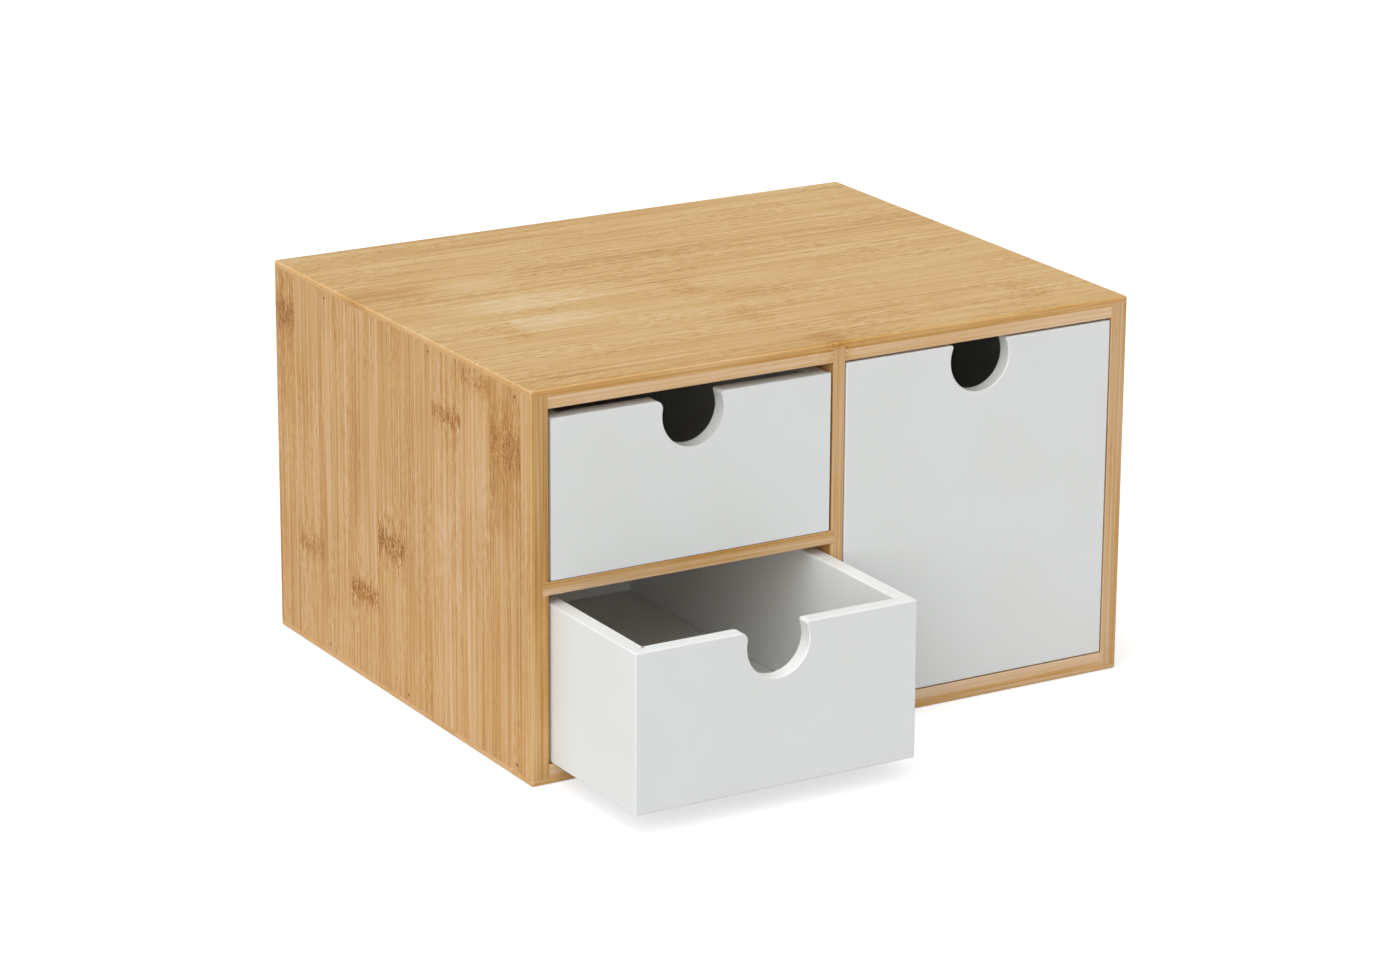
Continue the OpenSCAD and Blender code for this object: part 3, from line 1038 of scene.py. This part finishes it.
class ORGANIZER_OT_divider(bpy.types.Operator):
    """Cut the upright divider and the shelf that is let into it"""

    bl_idname = "organizer.divider"
    bl_label = "Divider and Shelf"

    def execute(self, context):
        self.divider(context.scene.boards)
        self.shelf(context.scene.boards)
        return {"FINISHED"}

    def divider(self, settings):
        low = (SHELF_HIGH.x, FRONT, DIVIDER_LOW.z)
        high = (DIVIDER_HIGH.x, IN_BACK, DIVIDER_HIGH.z)
        piece = board_blank("divider", low, high)
        score(Z, SHELF_LOW.z, SHELF_HIGH.z)
        raise_faces(
            X,
            SHELF_HIGH.x,
            DIVIDER_LOW.x,
            lambda centre: not SHELF_LOW.z < centre.z < SHELF_HIGH.z,
        )
        score(Z, IN_LOW, IN_HIGH)
        ease_carcass_board(settings)
        close_piece(piece)
        drill(piece, "back_panel_pins", Y, settings.nail_gap, RUN_OUT)
        corner = (DIVIDER_LOW.x, FRONT, FLOOR)
        fit(piece, "divider", bamboo_finish("divider", corner, (Z, Y, X)))

    def shelf(self, settings):
        piece = board_blank("shelf", SHELF_LOW, SHELF_HIGH)
        score(X, IN_LEFT, DIVIDER_LOW.x)
        ease_carcass_board(settings)
        close_piece(piece)
        corner = (IN_LEFT, FRONT, SHELF_LOW.z)
        fit(piece, "shelf", bamboo_finish("shelf", corner, (X, Y, Z)))


class ORGANIZER_OT_back(bpy.types.Operator):
    """Cut the thin back panel"""

    bl_idname = "organizer.back"
    bl_label = "Back Panel"

    def execute(self, context):
        settings = context.scene.boards
        node = "back_panel"
        piece = board_blank(node, BACK_LOW, BACK_HIGH)
        ease(settings.back_gap, LOOSE_STEPS)
        close_piece(piece)
        drill(piece, "back_panel_pins", Y, settings.nail_gap, RUN_OUT)
        corner = (BACK_LOW.x, IN_BACK - MM, BACK_LOW.z)
        fit(piece, node, bamboo_finish(node, corner, (X, Z, Y)))
        return {"FINISHED"}


class ORGANIZER_OT_brads(bpy.types.Operator):
    """Give the brads and pins of the carcass and the drawers their steel"""

    bl_idname = "organizer.brads"
    bl_label = "Brads and Pins"

    def execute(self, context):
        steel = steel_finish()
        nodes = ["left_side_brads", "right_side_brads", "back_panel_pins"]
        nodes += [f"{drawer}_brads" for drawer in DRAWERS]
        for node in nodes:
            for slot in frame["nodes"][node].material_slots:
                slot.material = steel
        return {"FINISHED"}


# ---- drawers ----


def paint_board(piece, node):
    """Paints a finished drawer board, in the one white that all of them share."""
    paint = bpy.data.materials.get("White paint") or paint_finish()
    fit(piece, node, paint)


class Drawer:
    """Places of one drawer, from its solids, and the work that its grooved boards share."""

    def __init__(self, name, settings):
        self.name = name
        self.settings = settings
        self.low, front_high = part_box(f"{name}_front")
        self.front = self.low.y
        self.front_back = front_high.y
        wall_low, wall_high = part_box(f"{name}_left_wall")
        self.lip = wall_low.y
        self.in_left = wall_high.x
        right_low, self.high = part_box(f"{name}_right_wall")
        self.in_right = right_low.x
        self.in_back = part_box(f"{name}_back")[0].y
        bottom_low, bottom_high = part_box(f"{name}_bottom")
        gap = settings.groove_gap
        self.groove_left = bottom_low.x - gap
        self.groove_right = bottom_high.x + gap
        self.groove_front = bottom_low.y - gap
        self.groove_back = bottom_high.y + gap
        self.groove_low = bottom_low.z
        self.groove_high = bottom_high.z + gap

    def in_groove(self, centre):
        """True at the height of the groove that holds the bottom."""
        return self.groove_low < centre.z < self.groove_high

    def on_outside(self, edge):
        """True for an edge of the drawer's outer box, or of the front's face."""
        return planes_shared(edge, (self.low, self.high)) > 1 or along(edge, Y, self.front)

    def on_inner_rim(self, edge):
        """True for an edge round the open top, or of the notch at the back of the front."""
        cavity = (self.in_left, self.front_back, self.in_right, self.in_back)
        if along(edge, Z, self.high.z) and borders(edge, cavity, X, Y):
            return True
        between = all(self.in_left + MM < end.x < self.in_right - MM for end in ends(edge))
        above = edge.verts[0].co.z > self.groove_high + MM
        return along(edge, Y, self.front_back) and between and above

    def finish_board(self, piece, node):
        """Eases the open board, bores it for its brads and paints it."""
        ease(self.settings.outer_ease, DRAWER_STEPS, self.on_outside)
        ease(self.settings.inner_ease, CAVITY_STEPS, self.on_inner_rim)
        close_piece(piece)
        drill(piece, f"{self.name}_brads", X, self.settings.nail_gap)
        paint_board(piece, node)


class ORGANIZER_OT_fronts(bpy.types.Operator):
    """Cut the drawer fronts: an outline with a finger notch, lips, and a groove"""

    bl_idname = "organizer.fronts"
    bl_label = "Drawer Fronts"

    def execute(self, context):
        for name in DRAWERS:
            self.front(Drawer(name, context.scene.drawers))
        return {"FINISHED"}

    def front(self, drawer):
        node = f"{drawer.name}_front"
        piece = self.outline(node, drawer)
        raise_faces(Y, drawer.front, drawer.lip)
        score_upright(drawer.lip, X, drawer.in_left, drawer.in_right)
        raise_faces(
            Y,
            drawer.lip,
            drawer.groove_front,
            lambda centre: drawer.in_left < centre.x < drawer.in_right,
        )
        score_upright(drawer.groove_front, Z, drawer.groove_low, drawer.groove_high)
        raise_faces(
            Y, drawer.groove_front, drawer.front_back, lambda centre: not drawer.in_groove(centre)
        )
        drawer.finish_board(piece, node)

    def outline(self, node, drawer):
        """Draws the outline at the front plane, spinning a point round the notch, and fills it."""
        low, high, settings = drawer.low, drawer.high, drawer.settings
        tall = drawer.name == "tall_drawer"
        drop = settings.tall_drop if tall else settings.left_drop
        radius, right = settings.notch_radius, settings.crisp_shoulder
        left = right if tall else settings.soft_shoulder
        middle = (low.x + high.x) / 2
        start_clean()
        bpy.ops.mesh.primitive_plane_add(
            size=1, location=(middle, low.y, (low.z + high.z) / 2), rotation=(math.pi / 2, 0, 0)
        )
        bpy.context.active_object.scale = (high.x - low.x, high.z - low.z, 1)
        bpy.ops.object.transform_apply(location=True, rotation=True, scale=True)
        piece = open_board(node)
        bpy.ops.mesh.delete(type="ONLY_FACE")
        pick("EDGE", lambda edge: along(edge, Z, high.z))
        bpy.ops.mesh.delete(type="EDGE")

        # How far each shoulder's centre is from the middle, and how far its arc turns
        to_left, to_right = (
            math.sqrt((radius + shoulder) ** 2 - (drop - shoulder) ** 2)
            for shoulder in (left, right)
        )
        turn_left = math.atan2(to_left, left - drop)
        turn_right = math.atan2(to_right, right - drop)
        arcs = (
            (middle - to_left, high.z - left, turn_left, SHOULDER_STEPS),
            (middle, high.z - drop, -turn_left - turn_right, NOTCH_STEPS),
            (middle + to_right, high.z - right, turn_right, SHOULDER_STEPS),
        )
        pick("VERT", lambda vert: same(vert.co.x, low.x) and same(vert.co.z, high.z))
        self.slide_right(middle - to_left - low.x)
        for x, z, turn, steps in arcs:
            bpy.ops.mesh.spin(steps=steps, angle=turn, center=(x, low.y, z), axis=(0, -1, 0))
        self.slide_right(high.x - middle - to_right)
        bpy.ops.mesh.select_all(action="SELECT")
        bpy.ops.mesh.remove_doubles(threshold=SAME_PLACE)
        bpy.ops.mesh.edge_face_add()
        return piece

    def slide_right(self, reach):
        """Extrudes the selected vertex to the right."""
        bpy.ops.mesh.extrude_region_move(TRANSFORM_OT_translate={"value": (reach, 0, 0)})


class ORGANIZER_OT_walls(bpy.types.Operator):
    """Cut the drawer walls and backs, grooved for the bottoms"""

    bl_idname = "organizer.walls"
    bl_label = "Drawer Walls and Backs"

    def execute(self, context):
        for name in DRAWERS:
            drawer = Drawer(name, context.scene.drawers)
            self.wall(drawer, "left_wall", drawer.low.x, drawer.groove_left, drawer.in_left)
            self.wall(drawer, "right_wall", drawer.high.x, drawer.groove_right, drawer.in_right)
            self.back(drawer)
        return {"FINISHED"}

    def wall(self, drawer, label, outer, groove, inner):
        node = f"{drawer.name}_{label}"
        low, high = drawer.low, drawer.high
        piece = board_blank(node, (outer, drawer.lip, low.z), (groove, high.y, high.z))
        score(Y, drawer.groove_front)
        score(Z, drawer.groove_low, drawer.groove_high)
        raise_faces(
            X,
            groove,
            inner,
            lambda centre: not drawer.in_groove(centre) or centre.y < drawer.groove_front,
        )
        score(Y, drawer.front_back, drawer.in_back)
        drawer.finish_board(piece, node)

    def back(self, drawer):
        node = f"{drawer.name}_back"
        low = (drawer.in_left, drawer.groove_back, drawer.low.z)
        piece = board_blank(node, low, (drawer.in_right, drawer.high.y, drawer.high.z))
        score(Z, drawer.groove_low, drawer.groove_high)
        raise_faces(
            Y, drawer.groove_back, drawer.in_back, lambda centre: not drawer.in_groove(centre)
        )
        drawer.finish_board(piece, node)


class ORGANIZER_OT_bottoms(bpy.types.Operator):
    """Cut the drawer bottoms"""

    bl_idname = "organizer.bottoms"
    bl_label = "Drawer Bottoms"

    def execute(self, context):
        for name in DRAWERS:
            node = f"{name}_bottom"
            piece = board_blank(node, *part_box(node))
            ease(context.scene.drawers.groove_gap, LOOSE_STEPS)
            close_piece(piece)
            paint_board(piece, node)
        return {"FINISHED"}


# ---- stage ----


class ORGANIZER_OT_stage(bpy.types.Operator):
    """Set up the pale floor, the soft lamps and the camera"""

    bl_idname = "organizer.stage"
    bl_label = "Stage"

    def execute(self, context):
        settings = context.scene.stage
        self.floor(settings)
        self.sky(settings.sky)
        self.lamp("Overhead lamp", (-0.12, 0.10, 1.0), spread=22, strength=settings.overhead)
        self.lamp("Side lamp", (-0.70, -0.57, 0.43), spread=80, strength=settings.side)
        self.camera(settings)
        context.scene.view_settings.view_transform = "Standard"
        return {"FINISHED"}

    def seen(self, w):
        """1 for rays that show a surface itself, directly, in a gloss or through glass."""
        path = w.add("ShaderNodeLightPath").outputs
        seen = w.larger(path["Is Camera Ray"], path["Is Glossy Ray"])
        return w.larger(seen, path["Is Transmission Ray"])

    def floor(self, settings):
        """Adds a floor that takes the shadow, and is whiter where it is seen."""
        start_clean()
        bpy.ops.mesh.primitive_plane_add(size=60, location=(0, 0, FLOOR))
        floor = bpy.context.active_object
        floor.name = "floor"
        finish = bpy.data.materials.new("Pale floor")
        finish.use_nodes = True
        floor.data.materials.append(finish)
        w = Wiring(finish.node_tree)
        plain = w.add("ShaderNodeBsdfDiffuse", {"Color": (*[settings.floor_grey] * 3, 1)})
        glow = w.add("ShaderNodeEmission", {"Strength": settings.floor_glow})
        both = w.add("ShaderNodeAddShader", {0: plain.outputs[0], 1: glow.outputs[0]})
        feeds = {0: self.seen(w), 1: plain.outputs[0], 2: both.outputs[0]}
        shown = w.add("ShaderNodeMixShader", feeds)
        w.add("ShaderNodeOutputMaterial", {"Surface": shown.outputs[0]})

    def sky(self, strength):
        """Lights the object evenly from all round, and is white where it is seen."""
        world = bpy.data.worlds.new("Soft sky")
        bpy.context.scene.world = world
        world.use_nodes = True
        w = Wiring(world.node_tree)
        light = w.add("ShaderNodeMapRange", {0: self.seen(w), 1: 0.0, 2: 1.0, 3: strength, 4: 1.0})
        feeds = {"Color": (1, 1, 1, 1), "Strength": light.outputs[0]}
        glow = w.add("ShaderNodeBackground", feeds)
        w.add("ShaderNodeOutputWorld", {"Surface": glow.outputs[0]})

    def lamp(self, name, towards, spread, strength):
        """Adds a broad, even lamp: towards points from the object to it, spread is in degrees."""
        start_clean()
        bpy.ops.object.light_add(type="SUN", location=towards)
        lamp = bpy.context.active_object
        lamp.name = name
        lamp.rotation_euler = Vector(towards).to_track_quat("Z", "Y").to_euler()
        lamp.data.energy = strength
        lamp.data.angle = math.radians(spread)

    def camera(self, settings):
        """Stands the camera where the photograph was taken from."""
        start_clean()
        bpy.ops.object.camera_add(location=settings.camera_place)
        camera = bpy.context.active_object
        camera.data.lens = settings.camera_lens
        camera.data.sensor_width = 36
        turn = Matrix.Rotation(-settings.camera_yaw, 3, "Z")
        tip = Matrix.Rotation(math.pi / 2 - settings.camera_pitch, 3, "X")
        roll = Matrix.Rotation(settings.camera_roll, 3, "Z")
        camera.rotation_euler = (turn @ tip @ roll).to_euler()
        bpy.context.scene.camera = camera


PROPERTIES = {
    "boards": BoardSettings,
    "drawers": DrawerSettings,
    "bamboo": BambooSettings,
    "paint": PaintSettings,
    "stage": StageSettings,
}

OPERATORS = (
    ORGANIZER_OT_panels,
    ORGANIZER_OT_sides,
    ORGANIZER_OT_divider,
    ORGANIZER_OT_back,
    ORGANIZER_OT_brads,
    ORGANIZER_OT_fronts,
    ORGANIZER_OT_walls,
    ORGANIZER_OT_bottoms,
    ORGANIZER_OT_stage,
)


class ORGANIZER_PT_sidebar(bpy.types.Panel):
    """Lists the steps that dress the organizer, and their settings"""

    bl_idname = "ORGANIZER_PT_sidebar"
    bl_label = "Drawer Organizer"
    bl_space_type = "VIEW_3D"
    bl_region_type = "UI"
    bl_category = "Organizer"

    def draw(self, context):
        for operator in OPERATORS:
            self.layout.operator(operator.bl_idname)
        for name, group in PROPERTIES.items():
            box = self.layout.box()
            box.label(text=name.capitalize())
            for field in group.__annotations__:
                box.prop(getattr(context.scene, name), field)


def register():
    for group in PROPERTIES.values():
        bpy.utils.register_class(group)
    for kind in (*OPERATORS, ORGANIZER_PT_sidebar):
        bpy.utils.register_class(kind)
    for name, group in PROPERTIES.items():
        setattr(bpy.types.Scene, name, PointerProperty(type=group))


def unregister():
    for name in PROPERTIES:
        delattr(bpy.types.Scene, name)
    for kind in (ORGANIZER_PT_sidebar, *reversed(OPERATORS)):
        bpy.utils.unregister_class(kind)
    for group in reversed(PROPERTIES.values()):
        bpy.utils.unregister_class(group)


def main():
    """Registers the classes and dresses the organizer."""
    register()
    knot_group()
    bamboo_group(bpy.context.scene.bamboo)
    for operator in OPERATORS:
        section, name = operator.bl_idname.split(".")
        getattr(getattr(bpy.ops, section), name)()


if __name__ == "__main__":
    main()
